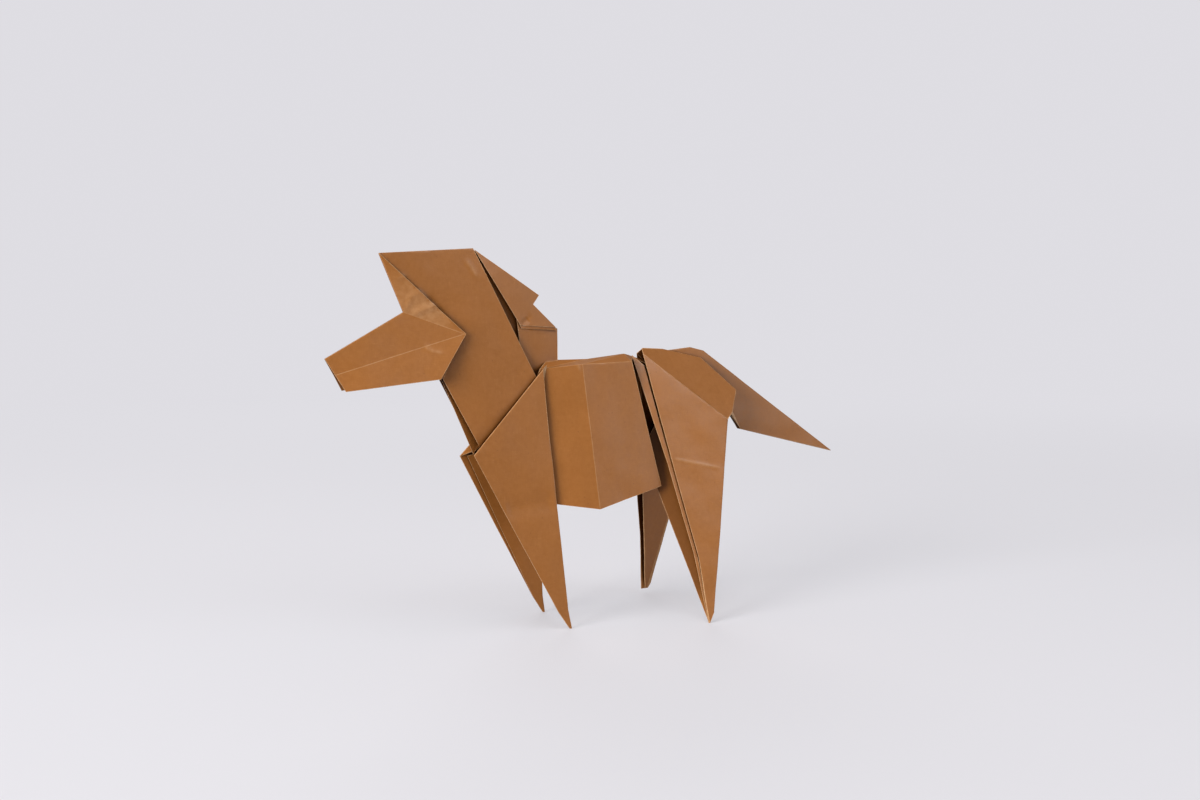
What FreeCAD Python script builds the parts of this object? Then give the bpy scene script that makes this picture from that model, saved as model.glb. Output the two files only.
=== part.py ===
import FreeCAD, Part
import os

# Origami horse folded from one sheet of kraft paper. Head to -X, tail to +X, its left side to -Y, up +Z.
# The origin is on the ground, half way between muzzle and tail, on the midplane of the horse.
# Each stretch of paper is a flat facet given by its corners in side view and by how far it leans away from
# the midplane. Facets that share an edge are joined there by a fold, and the paper has one thickness.

SIZES = {
    "paper_thickness": 0.20,
    "fold_width": 0.25,
    "layer_gap": 0.60,
    "back_height": 65.5,
    "body_length": 27.2,
    "poll_ahead": 18.6,
    "poll_rise": 29.8,
    "croup_rise": 3.2,
    "front_foot_behind": 3.7,
    "front_stance": 18.9,
    "rear_foot_behind": 10.9,
    "rear_stance": 37.8,
    "raised_foot": 1.3,
    "left_toe_width": 0.1,
    "left_layer_ahead": 0.1,
    "right_toe_width": 1.3,
    "right_layer_ahead": 1.7,
    "seam_depth": 1.2,
    "seam_lean": 0.3,
    "seam_low_share": 0.5,
    "mane_band_behind": 0.45,
    "mane_band_drop": 0.8,
    "tongue_share": 0.3,
    "tongue_length": 7.5,
    "tongue_sink": 2.6,
    "tail_root_behind": 18.8,
    "tail_root_rise": 0.45,
    "tail_length": 41.4,
    "tail_drop": 28.9,
}

# Corners by the place they are measured from: how far behind it, out from the midplane and below it.
CORNERS = {
    "poll": {
        "neck_top": (0, 0.35, 0),
        "neck_base": (1.2, 2.95, 50.4),
        "neck_brow": (-17.5, 0.2, 15.65),
        "muzzle_end": (-32.4, 2.4, 34.3),
        "cheek": (-3.05, 2.6, 20.9),
        "mane_top": (0.4, 0.45, 0.3),
        "mane_point": (17.2, 0.5, 11.4),
        "mane_front": (11.8, 1.5, 18.8),
        "turned_mane_front": (13.0, 0.22, 13.8),
        "turned_mane_end": (17.7, 0.22, 16.6),
        "core_front_low": (13.3, 0.82, 34.8),
    },
    "shoulder": {
        "shoulder_top": (-1.3, 3.2, 0.3),
        "left_chest": (-20.3, 5.0, 21.0),
        "right_chest": (-20.8, 5.0, 22.1),
        "torso_crease": (9.1, 4.0, -0.9),
        "belly": (12.4, 7.5, 36.0),
        "belly_front": (1.4, 5.4, 34.3),
    },
    "croup": {
        "belly_back": (3.2, 6.5, 34.4),
        "haunch_top": (0, 1.9, 0),
        "hip": (21.7, 8.6, 17.4),
        "rump_edge": (17.5, 1.0, 1.4),
        "turned_saddle": (7.4, 0.25, 2.4),
        "turned_edge": (15.9, 0.25, 5.8),
        "turned_corner": (23.9, 0.5, 12.2),
        "rear_lining": (2.9, 4.0, 34.5),
        "under_middle": (8.4, 0.6, 5.7),
        "under_front": (2.0, 0.5, 5.0),
    },
    "tail_root": {
        "tail_heel": (11.4, 0.75, 21.5),
    },
}

# Corners whose lean comes from the facet or fold they lie in: how far behind their place and below it.
FLAT_CORNERS = {
    "poll": {
        "ear": (-23.5, 1.5),
        "neck_ear": (-23.45, 1.52),
        "brow": (-17.6, 15.6),
        "muzzle": (-36.8, 26.6),
        "throat": (-8.4, 32.0),
        "nose": (-34.6, 30.4),
        "jaw": (-9.8, 31.8),
        "cheek_tuck": (-4.0, 21.5),
        "layer_top": (0.6, 0.6),
        "layer_brow": (-17.5, 15.65),
        "layer_throat": (-8.1, 32.5),
        "layer_base": (-0.3, 50.9),
        "layer_inner": (14.5, 20.5),
        "mane_notch": (15.5, 13.7),
        "mane_end": (21.5, 19.4),
        "core_rear_top": (22.3, 19.9),
        "core_rear_low": (22.3, 33.3),
        "core_front_top": (11.0, 16.4),
        "core_crown": (15.7, 15.3),
    },
    "shoulder": {
        "neck_crest": (-0.9, 6.0),
        "front_knee": (-0.3, 18.0),
        "lining_chest": (-19.1, 22.0),
        "torso_front": (-1.5, 0.2),
        "torso_tuck_top": (-8.0, 12.0),
        "torso_tuck_low": (-8.0, 33.1),
        "ridge_front": (0.7, -1.9),
        "ridge_middle": (12.3, -2.0),
    },
    "front_foot": {
        "front_toe": (-0.5, 0),
        "front_ankle": (-0.8, -4.6),
        "front_pastern": (-3.5, -4.6),
    },
    "croup": {
        "torso_back": (-4.1, 1.9),
        "ridge_back": (-4.6, 0),
        "ridge_end": (-2.3, 0.7),
        "left_crest": (0, -1.4),
        "right_crest": (1.4, -1.4),
        "saddle": (6.2, -1.1),
        "rump_corner": (26.5, 10.1),
        "dock": (23.6, 15.7),
        "rear_gusset": (16.0, 10.0),
        "layer_corner": (-2.8, 0.3),
        "layer_front": (-2.4, 2.3),
        "layer_shin": (4.2, 28.4),
        "seam_top": (0.2, 3.1),
        "seam_shin": (4.9, 28.4),
        "rump_front": (2.0, -0.2),
        "rump_low": (9.4, -0.8),
        "rump_high": (14.8, -1.4),
    },
    "rear_foot": {
        "rear_heel": (1.5, -2.7),
        "rear_fetlock": (-1.2, -16.5),
        "layer_fetlock": (-2.2, -17.7),
        "seam_fetlock": (-1.45, -16.5),
        "seam_foot": (-0.45, -5.5),
    },
    "tail_root": {
        "tail_notch": (9.1, 17.0),
        "tail_under": (0, 9.0),
    },
}

PLACE_OF = {}
for table, axes in ((CORNERS, ("behind", "spread", "drop")), (FLAT_CORNERS, ("behind", "drop"))):
    for place, corners in table.items():
        for name, distances in corners.items():
            PLACE_OF[name] = place
            SIZES.update({f"{name}_{axis}": distance for axis, distance in zip(axes, distances)})

document = FreeCAD.newDocument("origami_horse")
sheet = document.addObject("Spreadsheet::Sheet", "sizes")
for row, (name, value) in enumerate(SIZES.items(), start=1):
    sheet.set(f"A{row}", name)
    sheet.set(f"B{row}", str(value))
    sheet.setAlias(f"B{row}", name)
document.recompute()


def size(name):
    return float(sheet.get(name))


THICKNESS = size("paper_thickness")
FOLD = size("fold_width")
HALF_FOLD = FOLD / 2
MITRE_ROUNDS = 400

half_length = (size("poll_ahead") - size("muzzle_behind") + size("body_length") + size("tail_root_behind")
               + size("tail_length")) / 2
shoulder_x = size("poll_ahead") - size("muzzle_behind") - half_length
croup_x = shoulder_x + size("body_length")
back_z = size("back_height")
croup_z = back_z + size("croup_rise")
PLACES = {
    "poll": (shoulder_x - size("poll_ahead"), back_z + size("poll_rise")),
    "shoulder": (shoulder_x, back_z),
    "front_foot": (shoulder_x + size("front_foot_behind"), 0),
    "croup": (croup_x, croup_z),
    "rear_foot": (croup_x + size("rear_foot_behind"), 0),
    "tail_root": (croup_x + size("tail_root_behind"), croup_z + size("tail_root_rise")),
}


# ---- corners ---------------------------------------------------------------------------------------------

def point(x, spread, z):
    """A corner on the horse's left side, spread millimetres out from the midplane."""
    return FreeCAD.Vector(x, -spread, z)


def side_view(name):
    x, z = PLACES[PLACE_OF[name]]
    return x + size(name + "_behind"), z - size(name + "_drop")


def corner(name):
    x, z = side_view(name)
    return point(x, size(name + "_spread"), z)


def corner_out(spread, name):
    """A corner of the flat table, spread millimetres out from the midplane."""
    x, z = side_view(name)
    return point(x, spread, z)


def on_plane(plane, x, z):
    """The corner at x and z on the plane through three others."""
    first, second, third = plane
    normal = (second - first).cross(third - first)
    y = first.y - (normal.x * (x - first.x) + normal.z * (z - first.z)) / normal.y
    return FreeCAD.Vector(x, y, z)


def corner_on(plane, name):
    """A corner of the flat table, lying on the plane through three other corners."""
    return on_plane(plane, *side_view(name))


def moved(place, outward):
    """The same corner in a layer that lies further out, or further in where outward is negative."""
    return FreeCAD.Vector(place.x, place.y - outward, place.z)


def moved_ahead(place, distance, plane):
    """The same corner a distance nearer to the head, still on the plane."""
    return on_plane(plane, place.x - distance, place.z)


def mirrored(place):
    return FreeCAD.Vector(place.x, -place.y, place.z)


def where_spread(start, through, spread):
    """The point on the line from start through another where the line is spread out from the midplane."""
    return start + (through - start) * ((spread + start.y) / (start.y - through.y))


def both_sides(facets):
    return facets + right_side(facets)


def right_side(facets):
    return [[mirrored(place) for place in facet] for facet in facets]


def bridge(start, end):
    """The narrow facet across the midplane that joins an edge of the left side to its twin on the right."""
    return [start, end, mirrored(end), mirrored(start)]


# ---- paper -----------------------------------------------------------------------------------------------

def key(place):
    return (round(place.x, 6), round(place.y, 6), round(place.z, 6))


def edges_of(facet):
    return [(key(a), key(b)) for a, b in zip(facet, facet[1:] + facet[:1])]


def turned_over(facet):
    """The same facet seen from its other face, still starting at its first corner."""
    return facet[:1] + facet[:0:-1]


def turned_alike(facets):
    """The facets in the same order, each turned so that its neighbours show the same face of the paper."""
    done = {0: facets[0]}
    waiting = [0]
    while waiting:
        edges = set(edges_of(done[waiting.pop()]))
        for index, facet in enumerate(facets):
            if index in done:
                continue
            if edges & set(edges_of(facet)):
                done[index] = turned_over(facet)
                waiting.append(index)
            elif edges & set(edges_of(turned_over(facet))):
                done[index] = facet
                waiting.append(index)
    if len(done) < len(facets):
        raise ValueError("a facet shares no edge with the rest of its run of paper")
    return [done[index] for index in range(len(facets))]


def facet_normal(facet):
    normal = FreeCAD.Vector()
    for a, b in zip(facet, facet[1:] + facet[:1]):
        normal += a.cross(b)
    return normal.normalize()


def corner_offsets(facets):
    """For each corner, the step from mid-paper to its skin that keeps the thickness of every facet there."""
    normals = {}
    for facet in facets:
        normal = facet_normal(facet)
        for place in facet:
            normals.setdefault(key(place), []).append(normal)
    offsets = {}
    for place, around in normals.items():
        step = FreeCAD.Vector()
        for _ in range(MITRE_ROUNDS):
            for normal in around:
                step += normal * (THICKNESS / 2 - normal.dot(step))
        offsets[place] = step
    return offsets


def triangles(corners, turned=False):
    """A fan of flat triangles from the first corner, turned where they face the other way."""
    fan = []
    for a, b in zip(corners[1:], corners[2:]):
        outline = [corners[0], a, b, corners[0]]
        fan.append(Part.Face(Part.makePolygon(outline[::-1] if turned else outline)))
    return fan


def folded_paper(name, facets):
    """A closed solid of even thickness: two skins, mitred at the folds, and a wall along each free edge."""
    facets = turned_alike(facets)
    offsets = corner_offsets(facets)
    edge_uses = [edge for facet in facets for edge in edges_of(facet)]
    faces = []
    for facet in facets:
        upper = [place + offsets[key(place)] for place in facet]
        lower = [place - offsets[key(place)] for place in facet]
        faces += triangles(upper) + triangles(lower, turned=True)
        for index, (start, end) in enumerate(edges_of(facet)):
            if (end, start) not in edge_uses:
                after = (index + 1) % len(facet)
                faces += triangles([upper[after], upper[index], lower[index], lower[after]])
    skin = Part.Compound(faces)
    skin.sewShape()
    solid = Part.Solid(skin.Shells[0])
    if solid.Volume < 0:
        solid.reverse()
    feature = document.addObject("Part::Feature", name)
    feature.Shape = solid
    return feature


# ---- head, neck and front legs: one run of paper ---------------------------------------------------------

def head():
    """The hood folded back over the front of the neck: ear, cheek and muzzle."""
    spread = HALF_FOLD + FOLD
    ear = corner_out(spread, "ear")
    brow = corner_out(spread, "brow")
    muzzle = corner_out(FOLD, "muzzle")
    muzzle_end = corner("muzzle_end")
    cheek = corner("cheek")
    nose = corner_on((brow, muzzle, cheek), "nose")
    jaw = corner_on((cheek, nose, muzzle_end), "jaw")
    side = [
        [ear, brow, cheek],
        [brow, muzzle, nose, cheek],
        [cheek, nose, muzzle_end, jaw],
    ]
    return folded_paper("head", both_sides(side) + [bridge(ear, brow), bridge(brow, muzzle)])


def forehand_side(chest):
    neck_top = corner("neck_top")
    ear = corner_out(HALF_FOLD, "neck_ear")
    base = corner("neck_base")
    brow = corner("neck_brow")
    neck = (neck_top, ear, base)
    throat = corner_on(neck, "throat")
    crest = corner_on(neck, "neck_crest")
    tuck = corner_on(neck, "cheek_tuck")

    top = corner("shoulder_top")
    foot = point(PLACES["front_foot"][0], size("front_stance") / 2, 0)
    leg = (top, chest, foot)
    toe = corner_on(leg, "front_toe")
    ankle = corner_on(leg, "front_ankle")
    pastern = corner_on(leg, "front_pastern")
    knee = corner_on(leg, "front_knee")
    lining_chest = moved(corner_on(leg, "lining_chest"), -size("layer_gap"))
    foot_in, ankle_in, toe_in, pastern_in, knee_in, chest_in, top_in = [
        moved(place, -FOLD) for place in (foot, ankle, toe, pastern, knee, chest, top)]
    crest_out, base_out = moved(crest, FOLD), moved(base, FOLD)
    return [
        [crest, neck_top, ear, tuck, throat, base],
        [ear, brow, tuck],
        [brow, throat, tuck],
        [base, crest, crest_out, base_out],
        [base_out, crest_out, top_in, chest_in],
        [chest_in, top_in, top, chest],
        [pastern, toe, foot, ankle, knee, top, chest],
        [knee_in, knee, ankle, ankle_in],
        [ankle, foot, foot_in, ankle_in],
        [pastern_in, toe_in, foot_in, ankle_in, knee_in, lining_chest],
    ]


def forehand():
    """Neck and front legs. The right leg's flap is folded a little lower at the chest than the left one."""
    left = forehand_side(corner("left_chest"))
    right = right_side(forehand_side(corner("right_chest")))
    across = bridge(corner_out(HALF_FOLD, "neck_ear"), corner("neck_top"))
    return folded_paper("forehand", left + right + [across])


def neck_layer():
    """The layer that shows edge-on between the two sides of the neck."""
    names = ("layer_inner", "layer_top", "layer_brow", "layer_throat", "layer_base")
    return folded_paper("neck_layer", [[corner_out(0, name) for name in names]])


# ---- torso -----------------------------------------------------------------------------------------------

def torso():
    crease = corner("torso_crease")
    belly = corner("belly")
    belly_front = corner("belly_front")
    belly_back = corner("belly_back")
    front_plane = (crease, belly, belly_front)
    front = corner_on(front_plane, "torso_front")
    tuck_top = corner_on(front_plane, "torso_tuck_top")
    tuck_low = corner_on(front_plane, "torso_tuck_low")
    back = corner_on((crease, belly, belly_back), "torso_back")

    ridge_front = corner_out(0, "ridge_front")
    ridge_middle = corner_out(0, "ridge_middle")
    ridge_back = corner_out(0, "ridge_back")
    ridge_end = corner_out(0, "ridge_end")
    along = FreeCAD.Vector(size("tongue_length"), 0, -size("tongue_sink"))
    tongue = ridge_end + (back - ridge_end) * size("tongue_share")
    side = [
        [crease, front, tuck_top, tuck_low, belly_front, belly],
        [crease, belly, belly_back, back],
        [front, crease, ridge_middle, ridge_front],
        [crease, back, ridge_back, ridge_middle],
        [ridge_back, back, tongue, ridge_end],
        [tongue, tongue + along, ridge_end + along, ridge_end],
    ]
    return folded_paper("torso", both_sides(side))


# ---- mane ------------------------------------------------------------------------------------------------

def mane_core():
    rear_top = corner_out(HALF_FOLD, "core_rear_top")
    rear_low = corner_out(HALF_FOLD, "core_rear_low")
    front_low = corner("core_front_low")
    core = (rear_top, rear_low, front_low)
    crown = corner_on(core, "core_crown")
    side = [[front_low, rear_low, rear_top, crown, corner_on(core, "core_front_top")]]
    return folded_paper("mane_core", both_sides(side) + [bridge(rear_top, rear_low)])


def mane_flap():
    """The left flap of the mane. Its lower edge is folded twice, so a band shows below the first fold."""
    top = corner("mane_top")
    tip = corner("mane_point")
    front = corner("mane_front")
    flap = (top, tip, front)
    notch = corner_on(flap, "mane_notch")
    end = corner_on(flap, "mane_end")
    front_in, end_in = moved(front, -FOLD), moved(end, -FOLD)
    band = FreeCAD.Vector(size("mane_band_behind"), 0, -size("mane_band_drop"))
    front_low, end_low = front_in + band, end_in + band
    front_under, end_under = moved(front_low, -FOLD), moved(end_low, -FOLD)
    return [
        [notch, tip, top, front, end],
        [front, end, end_in, front_in],
        [front_in, end_in, end_low, front_low],
        [front_low, end_low, end_under, front_under],
        [front_under, end_under, corner("turned_mane_end"), corner("turned_mane_front")],
    ]


# ---- hindquarters ----------------------------------------------------------------------------------------

def rear_leg():
    """Haunch top, hip and foot: the plane of the left rear leg's outer layer."""
    foot = point(PLACES["rear_foot"][0], size("rear_stance") / 2, 0)
    return corner("haunch_top"), corner("hip"), foot


def hindquarters_side(crest_name):
    leg = rear_leg()
    top, hip, foot = leg
    fetlock = corner_on(leg, "rear_fetlock")
    heel = corner_on(leg, "rear_heel")
    edge = corner("rump_edge")
    rump = (top, hip, edge)
    crest = corner_on(rump, crest_name)
    saddle = corner_on(rump, "saddle")
    tail_corner = corner_on(rump, "rump_corner")
    dock = corner_on(rump, "dock")
    saddle_in, edge_in, corner_in = [moved(place, -FOLD) for place in (saddle, edge, tail_corner)]
    turned_saddle, turned_edge = corner("turned_saddle"), corner("turned_edge")

    hip_in, foot_in, heel_in = [moved(place, -FOLD) for place in (hip, foot, heel)]
    lining = corner("rear_lining")
    inner = (foot_in, hip_in, lining)
    gusset_front = where_spread(foot_in, lining, HALF_FOLD)
    gusset_back = where_spread(hip_in, corner_on(inner, "rear_gusset"), HALF_FOLD)
    return [
        [hip, top, fetlock, foot, heel],
        [top, hip, dock, tail_corner, edge, saddle, crest],
        [saddle, edge, edge_in, saddle_in],
        [edge, tail_corner, corner_in, edge_in],
        [saddle_in, edge_in, turned_edge, turned_saddle],
        [edge_in, corner_in, corner("turned_corner"), turned_edge],
        [hip, heel, heel_in, hip_in],
        [heel, foot, foot_in, heel_in],
        [hip_in, heel_in, foot_in, gusset_front, gusset_back],
    ]


def hindquarters():
    """Rump and rear legs. The front corner of the rump is folded off more on the right than on the left."""
    left = hindquarters_side("left_crest")
    right = right_side(hindquarters_side("right_crest"))
    gusset_front, gusset_back = left[-1][-2:]
    return folded_paper("hindquarters", left + right + [bridge(gusset_front, gusset_back)])


def haunch_layer(side):
    """The strip in front of a rear leg's outer layer, turned inward along the seam between them."""
    top, hip, foot = rear_leg()
    foot_in = moved(foot, -FOLD)
    layer = (moved(top, -size("layer_gap")), moved(hip, -size("layer_gap")), foot_in)
    steps = [("layer_shin", "_layer_ahead"), ("layer_fetlock", "_layer_ahead")]
    front = [moved_ahead(corner_on(layer, name), size(side + step), layer) for name, step in steps]
    toe = moved_ahead(foot_in, size(side + "_toe_width"), layer)
    seam = [corner_on(layer, name) for name in ("seam_top", "seam_shin", "seam_fetlock")]
    turn = FreeCAD.Vector(size("seam_lean"), size("seam_depth"), 0)
    inner = []
    for place in seam:
        height = (place.z - seam[-1].z) / (seam[0].z - seam[-1].z)
        inner.append(place + turn * (size("seam_low_share") + height * (1 - size("seam_low_share"))))
    strip = [
        [seam[0], corner_on(layer, "layer_corner"), corner_on(layer, "layer_front"), front[0], seam[1]],
        [seam[1], front[0], front[1], seam[2]],
        [seam[2], front[1], toe, foot_in, corner_on(layer, "seam_foot")],
    ]
    turned = [[a, b, d, c] for a, b, c, d in zip(seam, seam[1:], inner, inner[1:])]
    return strip + turned


# ---- rump and tail ---------------------------------------------------------------------------------------

def tail():
    root = point(PLACES["tail_root"][0], HALF_FOLD, PLACES["tail_root"][1])
    tip = FreeCAD.Vector(root.x + size("tail_length"), root.y, root.z - size("tail_drop"))
    heel = corner("tail_heel")
    blade = (root, tip, heel)
    under = corner_on(blade, "tail_under")
    ridge = [corner_out(HALF_FOLD, name) for name in ("rump_high", "rump_low", "rump_front")]
    side = [
        [under, root, tip, heel, corner_on(blade, "tail_notch")],
        [corner("under_middle"), under, root, *ridge, corner("under_front")],
    ]
    top_line = [tip, root, *ridge]
    across = [bridge(start, end) for start, end in zip(top_line, top_line[1:])]
    return folded_paper("tail", both_sides(side) + across)


# ---- the folded sheet ------------------------------------------------------------------------------------

layers = [
    head(),
    forehand(),
    neck_layer(),
    torso(),
    mane_core(),
    folded_paper("mane_left", mane_flap()),
    folded_paper("mane_right", right_side(mane_flap())),
    hindquarters(),
    folded_paper("haunch_left", haunch_layer("left")),
    folded_paper("haunch_right", right_side(haunch_layer("right"))),
    tail(),
]
joined = document.addObject("Part::MultiFuse", "joined_layers")
joined.Shapes = layers
joined.Refine = True

# The feet are trimmed level with the ground, and the right rear foot a little above it.
ground = document.addObject("Part::Box", "ground")
ground.setExpression("Length", "2 * (sizes.body_length + sizes.rear_stance)")
ground.setExpression("Width", "2 * sizes.rear_stance")
ground.setExpression("Height", "sizes.raised_foot")
ground.setExpression("Placement.Base.x", "-Length / 2")
ground.setExpression("Placement.Base.y", "-Width / 2")
ground.setExpression("Placement.Base.z", "-Height")

raised_ground = document.addObject("Part::Box", "raised_ground")
raised_ground.setExpression("Length", "sizes.body_length + sizes.rear_stance")
raised_ground.setExpression("Width", "sizes.rear_stance")
raised_ground.setExpression("Height", "2 * sizes.raised_foot")
raised_ground.setExpression("Placement.Base.z", "-sizes.raised_foot")

trimmed_away = document.addObject("Part::MultiFuse", "trimmed_away")
trimmed_away.Shapes = [ground, raised_ground]

folded_sheet = document.addObject("Part::Cut", "folded_sheet")
folded_sheet.Base = joined
folded_sheet.Tool = trimmed_away
folded_sheet.Label = "folded_sheet"
folded_sheet.Placement = FreeCAD.Placement()
document.recompute()

for thing in document.Objects:
    if "Invalid" in thing.State or "Error" in thing.State:
        raise ValueError(thing.Name + " did not build")
if folded_sheet.Shape.isNull() or not folded_sheet.Shape.isValid() or len(folded_sheet.Shape.Solids) != 1:
    raise ValueError("the folded sheet is not one valid solid")
os.makedirs("parts", exist_ok=True)
folded_sheet.Shape.exportStep("parts/folded_sheet.step")
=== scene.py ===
import math

import bmesh
import bpy
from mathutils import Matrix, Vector, noise


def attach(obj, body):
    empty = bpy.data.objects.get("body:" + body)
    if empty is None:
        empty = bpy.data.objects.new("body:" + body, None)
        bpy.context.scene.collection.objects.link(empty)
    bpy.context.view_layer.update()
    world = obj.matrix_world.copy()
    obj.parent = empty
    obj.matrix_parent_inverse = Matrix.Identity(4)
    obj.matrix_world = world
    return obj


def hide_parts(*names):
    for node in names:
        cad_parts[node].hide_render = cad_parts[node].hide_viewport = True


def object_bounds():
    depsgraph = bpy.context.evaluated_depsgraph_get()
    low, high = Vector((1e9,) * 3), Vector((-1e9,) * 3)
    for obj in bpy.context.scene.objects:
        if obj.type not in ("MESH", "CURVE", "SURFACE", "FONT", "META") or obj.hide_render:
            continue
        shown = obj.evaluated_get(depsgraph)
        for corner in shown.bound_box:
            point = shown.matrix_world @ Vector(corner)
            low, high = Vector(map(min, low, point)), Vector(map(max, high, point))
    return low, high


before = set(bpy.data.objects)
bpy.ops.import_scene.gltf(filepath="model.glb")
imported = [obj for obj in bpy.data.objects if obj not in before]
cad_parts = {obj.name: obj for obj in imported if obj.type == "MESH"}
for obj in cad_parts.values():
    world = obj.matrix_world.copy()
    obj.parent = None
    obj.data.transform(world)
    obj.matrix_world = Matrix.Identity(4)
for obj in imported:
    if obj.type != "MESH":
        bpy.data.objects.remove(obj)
cad_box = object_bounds()

# The horse faces -X and its left side is -Y. The scene is in metres.
MM = 0.001

# ---- The paper's shape ----
# Here lengths with MM are in metres, and the others are in millimetres.

SAME_POINT = 0.0002 * MM
FLAT_ANGLE = math.radians(0.4)
FOLD_ANGLE = math.radians(2.5)
SHARP_ANGLE = math.radians(35)
FOLDED_BACK_ANGLE = math.radians(179)

WALL_WIDTH = 0.3 * MM
STRIP_WIDTH = 0.6 * MM
FOLD_ROUNDING = 0.11 * MM
FOLD_SEGMENTS = 2
SHORTEST_FOLD = 1.5 * MM

# How pale a face's paper is made, partly as wear and partly as a painted highlight of edges catching light:
# the cut edges, the narrow turned strips and the rounded folds.
PALE_WALL = 0.8
PALE_STRIP = 0.6
PALE_FOLD = 0.35

GRID = 0.8 * MM
FIRST_CUT = 0.53 * GRID
CUT_TOLERANCE = 0.00001 * MM
FINE_REACH = 1.4
FINE_ROUNDS = 2
FINEST_EDGE = 0.15 * MM

# Waves of the paper: how high they are, how long, and which layer of the noise they come from. They fade to
# nothing at the feet, between the two heights.
WAVES = [(0.30, 17, 2.3), (0.10, 6.5, 4.1), (0.028, 2.3, 6.7)]
STILL_HEIGHT = 0.5
WAVY_HEIGHT = 9


def crease(height, width, points, scuff_and_sheen=0.0):
    """A crease pressed into the left side: how far it stands out, its width, the X and Z of its points, and
    how much the cheek is made paler around it, partly as scuffing and partly as a painted sheen."""
    return {"height": height, "width": width, "points": points, "scuff_and_sheen": scuff_and_sheen}


CREASES = [
    # cheek
    crease(0.13, 0.8, [(-51.6, 80.6), (-50.4, 83.6), (-48.6, 84.4), (-46.6, 83.4)], scuff_and_sheen=0.5),
    crease(0.20, 0.9, [(-49.6, 79.4), (-47.6, 80.4), (-44.6, 81.2)], scuff_and_sheen=0.7),
    crease(-0.16, 0.9, [(-46.9, 83.8), (-44.4, 81.3), (-42.6, 78.8)]),
    crease(0.09, 0.8, [(-53.9, 87.8), (-52.0, 88.6)]),
    # muzzle
    crease(0.05, 0.7, [(-47.6, 71.6), (-45.8, 70.4), (-43.8, 70.0)]),
    # top of the neck, and the mane flap's lower corner
    crease(0.07, 0.8, [(-36.3, 92.2), (-35.3, 90.8), (-34.0, 88.8)]),
    crease(-0.20, 0.8, [(-22.3, 76.5), (-20.6, 78.0)]),
    # front leg
    crease(-0.34, 2.8, [(-28.4, 30.8), (-22.3, 31.3), (-15.8, 31.9)]),
    # haunch
    crease(0.04, 0.4, [(17.3, 41.5), (21.5, 40.5), (24.3, 39.9), (28.9, 38.9)]),
    # top of the torso's upright fold
    crease(0.09, 0.5, [(-8.2, 66.4), (-7.7, 65.0)]),
]
# Creases leave the paper this near the midplane as it is, reach this many times their width to each side,
# and grow to their full height within this share of their length.
CREASE_CLEARANCE = 0.2
CREASE_REACH = 3
CREASE_FADE = 0.15

# A raised crease is made paler along its line, partly as wear and partly as a painted highlight. The scuff
# and painted sheen on the cheek spread from two creases, inside the cheek's triangle.
CREASE_WEAR_AND_HIGHLIGHT = 0.4
CREASE_HIGHLIGHT_WIDTH = 0.45
SCUFF_AND_SHEEN_REACH = 6
CHEEK_TOP = ((-58.1, 93.8), (-37.7, 74.4))
CHEEK_FOOT = ((-52.2, 79.7), (-37.7, 74.4))

# The left rear leg's outer layer and the panel tucked behind it: three corners of each. The panel is found
# behind and below the next two values, within the third of its plane, and the shade painted on it grows
# between the two depths behind the outer layer.
OUTER_PANEL = (Vector((11.2, -1.9, 68.7)), Vector((32.9, -8.6, 51.3)), Vector((22.1, -18.9, 0.0)))
TUCKED_PANEL = (Vector((22.1, -18.65, 0.0)), Vector((32.9, -8.35, 51.3)), Vector((14.1, -4.0, 34.2)))
TUCKED_FRONT = 8
TUCKED_TOP = 50
TUCKED_THICKNESS = 0.3
TUCKED_DEPTHS = (0.7, 1.4)


def smooth(value, low, high):
    """0 up to the low value, 1 from the high value on, and an even curve between them."""
    share = min(max((value - low) / (high - low), 0), 1)
    return share * share * (3 - 2 * share)


def bell(distance, width):
    """1 in the middle, and less and less on both sides."""
    return math.exp(-((distance / width) ** 2))


def nearest(line, x, z):
    """Distance from a crease's line to a point, and the share of the line's segments where it is."""
    best, along = math.inf, 0.0
    for index, (start, end) in enumerate(zip(line, line[1:])):
        ax, az = start
        dx, dz = end[0] - ax, end[1] - az
        share = min(max(((x - ax) * dx + (z - az) * dz) / (dx * dx + dz * dz), 0), 1)
        distance = math.hypot(x - ax - share * dx, z - az - share * dz)
        if distance < best:
            best, along = distance, (index + share) / (len(line) - 1)
    return best, along


def under_line(line, x, z):
    """Whether a point lies below a line whose points run from front to back."""
    (ax, az), (bx, bz) = line
    return (bx - ax) * (z - az) < (bz - az) * (x - ax)


def on_cheek(x, z):
    """Whether a point lies in the cheek's triangle."""
    return under_line(CHEEK_TOP, x, z) and not under_line(CHEEK_FOOT, x, z)


def creased_side(y):
    """Whether a place is far enough to the left of the midplane to belong to the creased side."""
    return y < -CREASE_CLEARANCE


def depth_behind(panel, spot):
    """How far to the right of a panel's plane a spot lies."""
    first, second, third = panel
    normal = (second - first).cross(third - first).normalized()
    return normal.dot(spot - first) * (1 if normal.y > 0 else -1)


def tucked_shade_share(place):
    """1 on the panel behind the left rear leg's outer layer, where shade is painted into the colour, and 0
    elsewhere.
    """
    spot = place / MM
    if spot.x < TUCKED_FRONT or spot.z > TUCKED_TOP or spot.y > 0:
        return 0.0
    if abs(depth_behind(TUCKED_PANEL, spot)) > TUCKED_THICKNESS:
        return 0.0
    return smooth(depth_behind(OUTER_PANEL, spot), *TUCKED_DEPTHS)


def near_crease(place):
    """Whether a place is so near a crease that the mesh has to be fine there."""
    x, y, z = place / MM
    return creased_side(y) and any(nearest(each["points"], x, z)[0] < FINE_REACH for each in CREASES)


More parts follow.
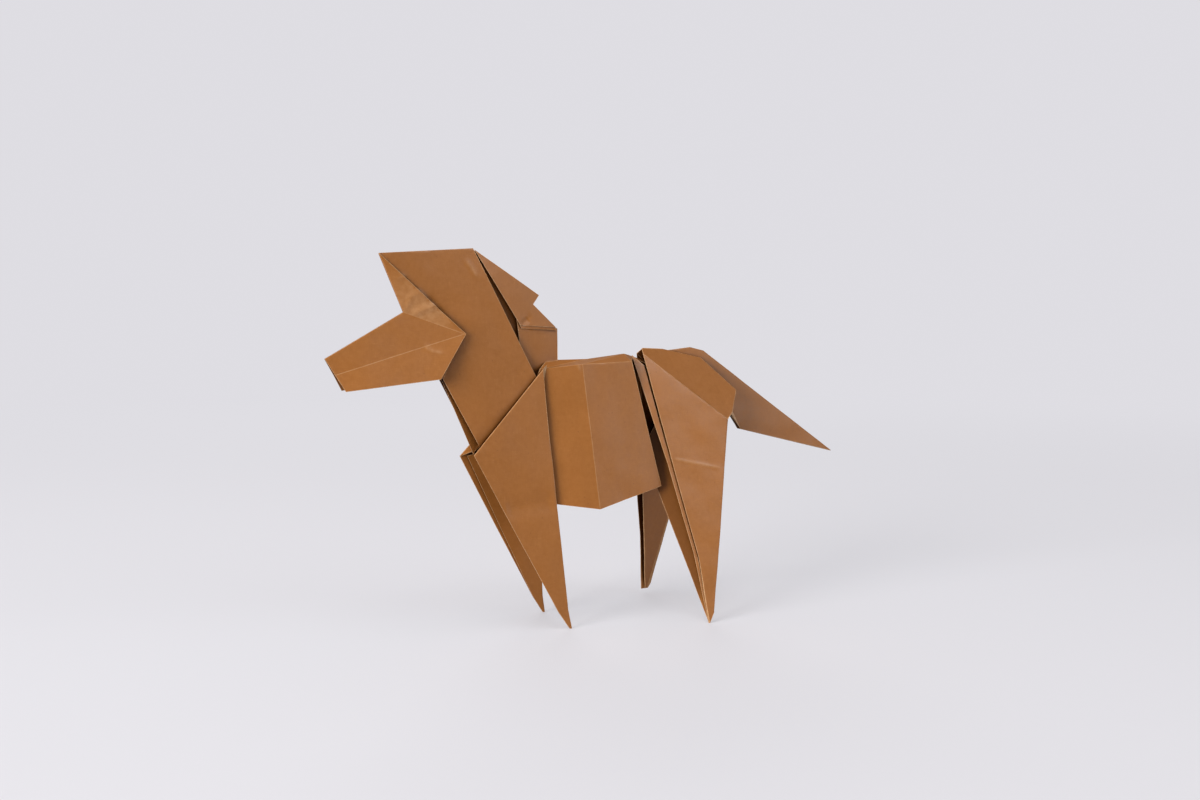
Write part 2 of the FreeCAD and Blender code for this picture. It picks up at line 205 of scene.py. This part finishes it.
def warp(place):
    """How far waves and creases shift the paper to the right at a place, and how pale it is made there,
    partly as wear and partly as a painted highlight and sheen.
    """
    x, y, z = place / MM
    shift = 0.0
    for height, length, layer in WAVES:
        shift += height * noise.noise(Vector((x / length, layer, z / length)))
    shift *= smooth(z, STILL_HEIGHT, WAVY_HEIGHT)
    worn_and_highlit = 0.0
    if not creased_side(y):
        return shift * MM, worn_and_highlit
    for each in CREASES:
        distance, along = nearest(each["points"], x, z)
        ends = smooth(along, -CREASE_FADE, CREASE_FADE) * smooth(1 - along, -CREASE_FADE, CREASE_FADE)
        if distance < CREASE_REACH * each["width"]:
            shift -= each["height"] * ends * bell(distance, each["width"])
            if each["height"] > 0:
                worn_and_highlit = max(worn_and_highlit, CREASE_WEAR_AND_HIGHLIGHT * ends * bell(distance, CREASE_HIGHLIGHT_WIDTH))
        if on_cheek(x, z):
            worn_and_highlit = max(worn_and_highlit, each["scuff_and_sheen"] * bell(distance, SCUFF_AND_SHEEN_REACH))
    return shift * MM, worn_and_highlit


def width_of(face):
    """The width of a long narrow face."""
    return 2 * face.calc_area() / face.calc_perimeter()


def unique(things):
    """The things in their order, each of them once."""
    return list(dict.fromkeys(things))


def join_facets(bm):
    """Joins the CAD mesh's triangles into flat facets, and drops flaps that lie folded back on a facet."""
    bmesh.ops.remove_doubles(bm, verts=bm.verts, dist=SAME_POINT)
    folded_back = [edge for edge in bm.edges if edge.calc_face_angle(0) > FOLDED_BACK_ANGLE]
    bmesh.ops.dissolve_edges(bm, edges=folded_back)
    bmesh.ops.dissolve_limit(bm, angle_limit=FLAT_ANGLE, verts=bm.verts, edges=bm.edges)


def is_fold(edge):
    """Whether an edge is a fold between two facets, and not the rim of a cut edge."""
    if edge.calc_face_angle(0) <= FOLD_ANGLE or edge.calc_length() <= SHORTEST_FOLD:
        return False
    return min(width_of(face) for face in edge.link_faces) > WALL_WIDTH


def round_folds(bm, pale_edge_and_highlight):
    """Rounds the folds, and marks how pale the cut edges, strips and roundings are made, partly as wear and
    partly as a painted highlight of edges catching light.
    """
    for face in bm.faces:
        width = width_of(face)
        face[pale_edge_and_highlight] = PALE_WALL if width < WALL_WIDTH else PALE_STRIP if width < STRIP_WIDTH else 0.0
    folds = [edge for edge in bm.edges if is_fold(edge)]
    bmesh.ops.bevel(bm, geom=folds, offset=FOLD_ROUNDING, offset_type="OFFSET", segments=FOLD_SEGMENTS,
                    profile=0.5, affect="EDGES", clamp_overlap=False)
    for face in bm.faces:
        if width_of(face) < WALL_WIDTH and face[pale_edge_and_highlight] == 0:
            face[pale_edge_and_highlight] = PALE_FOLD


def spans(face, axis, position):
    """Whether a face reaches to both sides of a cut."""
    along = [vert.co[axis] for vert in face.verts]
    return min(along) < position < max(along)


def cut_into_grid(bm):
    """Cuts the facets along X and Z, so that they have enough points to be bent."""
    low, high = cad_box
    for axis, normal in ((0, Vector((1, 0, 0))), (2, Vector((0, 0, 1)))):
        position = low[axis] + FIRST_CUT
        while position < high[axis]:
            faces = [face for face in bm.faces if spans(face, axis, position)]
            if faces:
                verts = unique(vert for face in faces for vert in face.verts)
                edges = unique(edge for face in faces for edge in face.edges)
                bmesh.ops.bisect_plane(bm, geom=verts + edges + faces, dist=CUT_TOLERANCE,
                                       plane_co=normal * position, plane_no=normal)
            position += GRID


def refine_creases(bm):
    """Halves the edges near the creases a few times over."""
    for _ in range(FINE_ROUNDS):
        faces = [face for face in bm.faces if near_crease(face.calc_center_median())]
        edges = unique(edge for face in faces for edge in face.edges if edge.calc_length() > FINEST_EDGE)
        bmesh.ops.subdivide_edges(bm, edges=edges, cuts=1, use_grid_fill=True)


def mark_sharp_edges(bm):
    bm.normal_update()
    for face in bm.faces:
        face.smooth = True
    for edge in bm.edges:
        edge.smooth = len(edge.link_faces) == 2 and edge.calc_face_angle(0) < SHARP_ANGLE


def bend_paper(bm, worn_and_highlit_layer, tucked_shade_layer):
    """Shifts the paper by its waves and creases, and marks where it is made paler by wear and painted
    highlight, and where shade is painted on the tucked panel.
    """
    for vert in bm.verts:
        vert[tucked_shade_layer] = tucked_shade_share(vert.co)
        shift, vert[worn_and_highlit_layer] = warp(vert.co)
        vert.co.y += shift


def new_object(name, bm):
    """Puts a finished bmesh into the scene as an object."""
    mesh = bpy.data.meshes.new(name)
    bm.to_mesh(mesh)
    bm.free()
    thing = bpy.data.objects.new(name, mesh)
    bpy.context.scene.collection.objects.link(thing)
    return thing


def paper_horse():
    """The whole folded sheet, made from a copy of the CAD node's mesh."""
    bm = bmesh.new()
    bm.from_mesh(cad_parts["folded_sheet"].data)
    join_facets(bm)
    pale_edge_and_highlight = bm.faces.layers.float.new("pale_edge_and_highlight")
    worn_and_highlit_layer = bm.verts.layers.float.new("worn_and_highlit")
    tucked_shade_layer = bm.verts.layers.float.new("tucked")
    round_folds(bm, pale_edge_and_highlight)
    cut_into_grid(bm)
    refine_creases(bm)
    mark_sharp_edges(bm)
    bend_paper(bm, worn_and_highlit_layer, tucked_shade_layer)
    return new_object("paper_horse", bm)


# ---- Materials ----


class Nodes:
    """Short calls for building a node tree."""

    def __init__(self, tree):
        self.tree = tree

    def add(self, kind, settings=(), **inputs):
        """Adds a node with its own settings. Each input is a value or another node's output."""
        node = self.tree.nodes.new(kind)
        for name, value in dict(settings).items():
            setattr(node, name, value)
        for name, value in inputs.items():
            self.feed(node.inputs[name.replace("_", " ")], value)
        return node

    def feed(self, socket, value):
        if isinstance(value, bpy.types.NodeSocket):
            self.tree.links.new(value, socket)
        else:
            socket.default_value = value

    def math(self, operation, a, b):
        """A sum, product or the like of two values."""
        node = self.add("ShaderNodeMath", {"operation": operation})
        self.feed(node.inputs[0], a)
        self.feed(node.inputs[1], b)
        return node.outputs[0]

    def ramp(self, value, low, high, start=0.0, end=1.0, curve="LINEAR"):
        """Turns values from low to high into values from start to end."""
        node = self.add("ShaderNodeMapRange", {"interpolation_type": curve}, Value=value, From_Min=low,
                        From_Max=high, To_Min=start, To_Max=end)
        return node.outputs["Result"]

    def mix(self, share, a, b):
        """Mixes two colours, which are the node's inputs 6 and 7."""
        node = self.add("ShaderNodeMix", {"data_type": "RGBA"})
        for socket, value in zip((node.inputs[0], node.inputs[6], node.inputs[7]), (share, a, b)):
            self.feed(socket, value)
        return node.outputs[2]

    def noise(self, vector, scale, detail, roughness):
        node = self.add("ShaderNodeTexNoise", Vector=vector, Scale=scale, Detail=detail,
                        Roughness=roughness)
        return node.outputs["Fac"]

    def stretched(self, vector, scale, turn=(0, 0, 0)):
        node = self.add("ShaderNodeMapping", Vector=vector, Scale=scale, Rotation=turn)
        return node.outputs["Vector"]

    def millimetres(self):
        """The object's own coordinates in millimetres."""
        place = self.add("ShaderNodeTexCoord").outputs["Object"]
        return self.stretched(place, (1 / MM, 1 / MM, 1 / MM))

    def attribute(self, name):
        return self.add("ShaderNodeAttribute", {"attribute_name": name}).outputs["Fac"]

    def seen_directly(self):
        """1 for what the camera sees, and 0 for light that lands on things."""
        return self.add("ShaderNodeLightPath").outputs["Is Camera Ray"]

    def blend(self, share, first, second, output):
        """Blends two shaders into the tree's output."""
        node = self.add("ShaderNodeMixShader")
        for socket, value in zip(node.inputs, (share, first, second)):
            self.feed(socket, value)
        self.feed(self.tree.nodes[output].inputs["Surface"], node.outputs["Shader"])


def new_material(name):
    """A new material, its node tree and its shader."""
    material = bpy.data.materials.new(name)
    material.use_nodes = True
    n = Nodes(material.node_tree)
    return material, n, n.tree.nodes["Principled BSDF"]


BROWN = (0.285, 0.103, 0.020, 1)
PALER_BROWN = (0.315, 0.115, 0.024, 1)
MOTTLED_BROWN = (0.36, 0.137, 0.031, 1)
LIGHT_FIBRE = (0.43, 0.178, 0.048, 1)
DARK_FIBRE = (0.21, 0.072, 0.015, 1)
FLECK = (0.14, 0.048, 0.013, 1)
PAINTED_RECESS_SHADE = (0.050, 0.0135, 0.003, 1)
RUBBED_AND_HIGHLIT_PAPER = (0.60, 0.36, 0.185, 1)

FLECK_SCALE = 0.75
RECESS_REACH = 7 * MM
RECESS_SAMPLES = 12
TUCKED_SHADE = 0.55
RIM_WIDTH = 0.36 * MM
RIM_SAMPLES = 8
WEAR_AND_HIGHLIGHT_PALENESS = 0.55
GRAIN_DEPTH = 0.06 * MM
GRAIN_STRENGTH = 0.35


def paper_fibres(n, mm):
    """Fibres that run level and fibres that stand upright, both leaning a little, in equal parts."""
    level = n.noise(n.stretched(mm, (0.35, 1.0, 3.2), (0, 0.35, 0)), scale=1.6, detail=4, roughness=0.6)
    upright = n.noise(n.stretched(mm, (2.6, 1.0, 0.3), (0, 0.2, 0)), scale=1.6, detail=4, roughness=0.6)
    return n.math("MULTIPLY", n.math("ADD", level, upright), 0.5)


def kraft_colour(n, mm, mottle, fibres):
    """Unshaded brown paper: cloudy and mottled, with light and dark fibres and a few flecks."""
    cloud = n.noise(mm, scale=0.09, detail=3, roughness=0.55)
    base = n.mix(n.ramp(cloud, 0.3, 0.7), BROWN, PALER_BROWN)
    base = n.mix(n.ramp(mottle, 0.32, 0.7, 0, 0.5), base, MOTTLED_BROWN)
    base = n.mix(n.ramp(fibres, 0.56, 0.7, 0, 0.45), base, LIGHT_FIBRE)
    base = n.mix(n.ramp(fibres, 0.44, 0.3, 0, 0.45), base, DARK_FIBRE)
    fleck = n.add("ShaderNodeTexVoronoi", Vector=n.stretched(mm, (0.8, 0.8, 0.8)), Scale=FLECK_SCALE)
    chosen = n.ramp(fleck.outputs["Color"], 0.72, 0.78)
    spot = n.math("MULTIPLY", n.ramp(fleck.outputs["Distance"], 0.14, 0.05), chosen)
    return n.mix(n.math("MULTIPLY", spot, 0.4), base, FLECK)


def recess_shade(n, openness):
    """How much shade is painted into the paper's colour in its recesses: a little in wide corners, nearly
    black in deep slits, and between the two on the tucked panel."""
    corners = n.ramp(openness, 0.92, 0.62, 0, 0.3)
    slits = n.ramp(openness, 0.66, 0.42, 0, 0.95)
    tucked = n.math("MULTIPLY", n.attribute("tucked"), TUCKED_SHADE)
    return n.math("MAXIMUM", n.math("MAXIMUM", corners, slits), tucked)


def pale_wear_and_highlight_share(n, openness, mottle):
    """How pale the paper is made where it is cut, folded, creased and scuffed: partly wear, and partly a
    painted highlight along convex edges and raised creases and a painted sheen on the cheek.
    """
    rounded = n.add("ShaderNodeBevel", {"samples": RIM_SAMPLES}, Radius=RIM_WIDTH).outputs["Normal"]
    facing = n.add("ShaderNodeNewGeometry").outputs["Normal"]
    agreement = n.add("ShaderNodeVectorMath", {"operation": "DOT_PRODUCT"})
    n.feed(agreement.inputs[0], rounded)
    n.feed(agreement.inputs[1], facing)
    # A painted highlight along convex rounded edges, left out in recesses.
    rim = n.math("MULTIPLY", n.ramp(agreement.outputs["Value"], 0.92, 0.78), n.ramp(openness, 0.5, 0.7))
    worn_and_highlit = n.math("MULTIPLY", n.attribute("worn_and_highlit"), WEAR_AND_HIGHLIGHT_PALENESS)
    rubbed_and_highlit = n.math("MAXIMUM", n.math("MAXIMUM", n.attribute("pale_edge_and_highlight"), rim), worn_and_highlit)
    return n.math("MULTIPLY", rubbed_and_highlit, n.ramp(mottle, 0.3, 0.65, 0.5, 0.95))


def kraft_paper():
    material, n, shader = new_material("kraft_paper_looks")
    mm = n.millimetres()
    mottle = n.noise(mm, scale=0.9, detail=5, roughness=0.62)
    fibres = paper_fibres(n, mm)
    recess = n.add("ShaderNodeAmbientOcclusion", {"samples": RECESS_SAMPLES, "only_local": True},
                   Distance=RECESS_REACH)
    openness = recess.outputs["AO"]

    # Painted shade darkens the colour in recesses and on the tucked panel; wear and painted highlight make
    # it paler along edges, creases and on the cheek.
    colour = n.mix(recess_shade(n, openness), kraft_colour(n, mm, mottle, fibres), PAINTED_RECESS_SHADE)
    colour = n.mix(pale_wear_and_highlight_share(n, openness, mottle), colour, RUBBED_AND_HIGHLIT_PAPER)
    grain = n.math("ADD", n.math("MULTIPLY", mottle, 0.6), fibres)
    bump = n.add("ShaderNodeBump", Strength=GRAIN_STRENGTH, Distance=GRAIN_DEPTH, Height=grain)
    n.feed(shader.inputs["Base Color"], colour)
    n.feed(shader.inputs["Roughness"], n.ramp(mottle, 0.3, 0.7, 0.31, 0.40))
    n.feed(shader.inputs["Specular IOR Level"], n.ramp(openness, 0.35, 0.75, 0.0, 0.3))
    n.feed(shader.inputs["Normal"], bump.outputs["Normal"])
    return material


piece = paper_horse()
piece.data.materials.append(kraft_paper())
weighted = piece.modifiers.new("even_shading", "WEIGHTED_NORMAL")
weighted.keep_sharp = True
weighted.weight = 100
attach(piece, "root")
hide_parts("folded_sheet")

# ---- The studio ----
# Here lengths are in metres, and the lens and its sensor are in millimetres.

PALE = (0.735, 0.725, 0.765, 1)
FLOOR_PAINT = (0.80, 0.79, 0.83, 1)
FLOOR_GRAIN = (0.86, 0.86, 0.88, 1)
FLOOR_ROUGHNESS = 0.75
FLOOR_HALF_WIDTH = 6
# How far from the origin the floor starts and ends its change to the colour of the room behind, and how much
# of that colour it has near the horse.
FLOOR_FADE = (0.10, 0.8)
NEAR_GLOW = 0.42

AIR_COLOUR = (0.95, 0.965, 1.0, 1)
AIR_STRENGTH = 0.34


def floor_paint():
    """Pale paint that takes the horse's shadow near it, and far away is as pale as the room behind."""
    material, n, shader = new_material("floor_paint")
    grain = n.noise(n.millimetres(), scale=0.35, detail=3, roughness=0.6)
    paint = n.mix(n.ramp(grain, 0.3, 0.7, 0, 0.04), FLOOR_PAINT, FLOOR_GRAIN)
    n.feed(shader.inputs["Base Color"], paint)
    n.feed(shader.inputs["Roughness"], FLOOR_ROUGHNESS)
    glow = n.add("ShaderNodeEmission", Color=PALE, Strength=n.seen_directly())
    distance = n.add("ShaderNodeVectorMath", {"operation": "LENGTH"})
    n.feed(distance.inputs[0], n.add("ShaderNodeTexCoord").outputs["Object"])
    share = n.ramp(distance.outputs["Value"], *FLOOR_FADE, NEAR_GLOW, 1.0, curve="SMOOTHSTEP")
    n.blend(share, shader.outputs["BSDF"], glow.outputs["Emission"], "Material Output")
    return material


def pale_floor():
    bm = bmesh.new()
    bmesh.ops.create_grid(bm, x_segments=8, y_segments=8, size=FLOOR_HALF_WIDTH)
    floor = new_object("floor", bm)
    floor.data.materials.append(floor_paint())


def studio_air():
    """The pale room: what shows behind the horse, and the soft light that comes from all round it."""
    world = bpy.data.worlds.new("studio")
    world.use_nodes = True
    n = Nodes(world.node_tree)
    around = n.tree.nodes["Background"]
    n.feed(around.inputs["Color"], AIR_COLOUR)
    n.feed(around.inputs["Strength"], AIR_STRENGTH)
    behind = n.add("ShaderNodeBackground", Color=PALE)
    n.blend(n.seen_directly(), around.outputs["Background"], behind.outputs["Background"],
            "World Output")
    bpy.context.scene.world = world


LAMP_AIM = Vector((0, 0, 0.05))
LAMP_COLOUR = (1.0, 0.985, 0.965)
SHEEN_COLOUR = (1.0, 0.985, 0.96)
LAMP_WIDTH = 0.9
KEY_WIDTH = 0.75
SHEEN_WIDTH = 0.24


def lamp(name, place, width, power, colour=LAMP_COLOUR, sheen=False):
    """A round lamp that points at the horse. A sheen lamp makes only gloss, and the others make none."""
    data = bpy.data.lights.new(name, "AREA")
    data.shape = "DISK"
    data.size = width
    data.energy = power
    data.color = colour
    thing = bpy.data.objects.new(name, data)
    thing.location = place
    thing.rotation_euler = (LAMP_AIM - Vector(place)).to_track_quat("-Z", "Y").to_euler()
    thing.visible_diffuse = not sheen
    thing.visible_glossy = sheen
    bpy.context.scene.collection.objects.link(thing)


def lamps():
    lamp("key", (-1.17, -0.45, 0.36), KEY_WIDTH, 19.5)
    lamp("overhead", (-0.35, -0.35, 1.25), LAMP_WIDTH, 5.0)
    lamp("fill", (0.9, -0.8, 0.45), LAMP_WIDTH, 3.6)
    lamp("behind", (0.3, 1.2, 0.5), LAMP_WIDTH, 6)
    lamp("high_sheen", (0.39, -1.0, 0.61), SHEEN_WIDTH, 3.8, SHEEN_COLOUR, sheen=True)
    lamp("low_sheen", (0.75, -0.95, 0.115), SHEEN_WIDTH, 1.5, SHEEN_COLOUR, sheen=True)


# The photograph's camera: where it stands, how far it looks down and how far it is turned to the right.
CAMERA_PLACE = (-0.1322, -0.29565, 0.0820)
CAMERA_DOWN = math.radians(4.447)
CAMERA_TURN = math.radians(24.05)
LENS = 37.5
SENSOR_WIDTH = 36.0
NEAREST_SEEN = 0.01


def photograph_camera():
    data = bpy.data.cameras.new("camera")
    data.lens = LENS
    data.sensor_width = SENSOR_WIDTH
    data.clip_start = NEAREST_SEEN
    camera = bpy.data.objects.new("camera", data)
    camera.location = CAMERA_PLACE
    camera.rotation_euler = (math.radians(90) - CAMERA_DOWN, 0, -CAMERA_TURN)
    bpy.context.scene.collection.objects.link(camera)
    return camera


pale_floor()
lamps()
studio_air()
bpy.context.scene.camera = photograph_camera()
bpy.context.scene.view_settings.view_transform = "Standard"
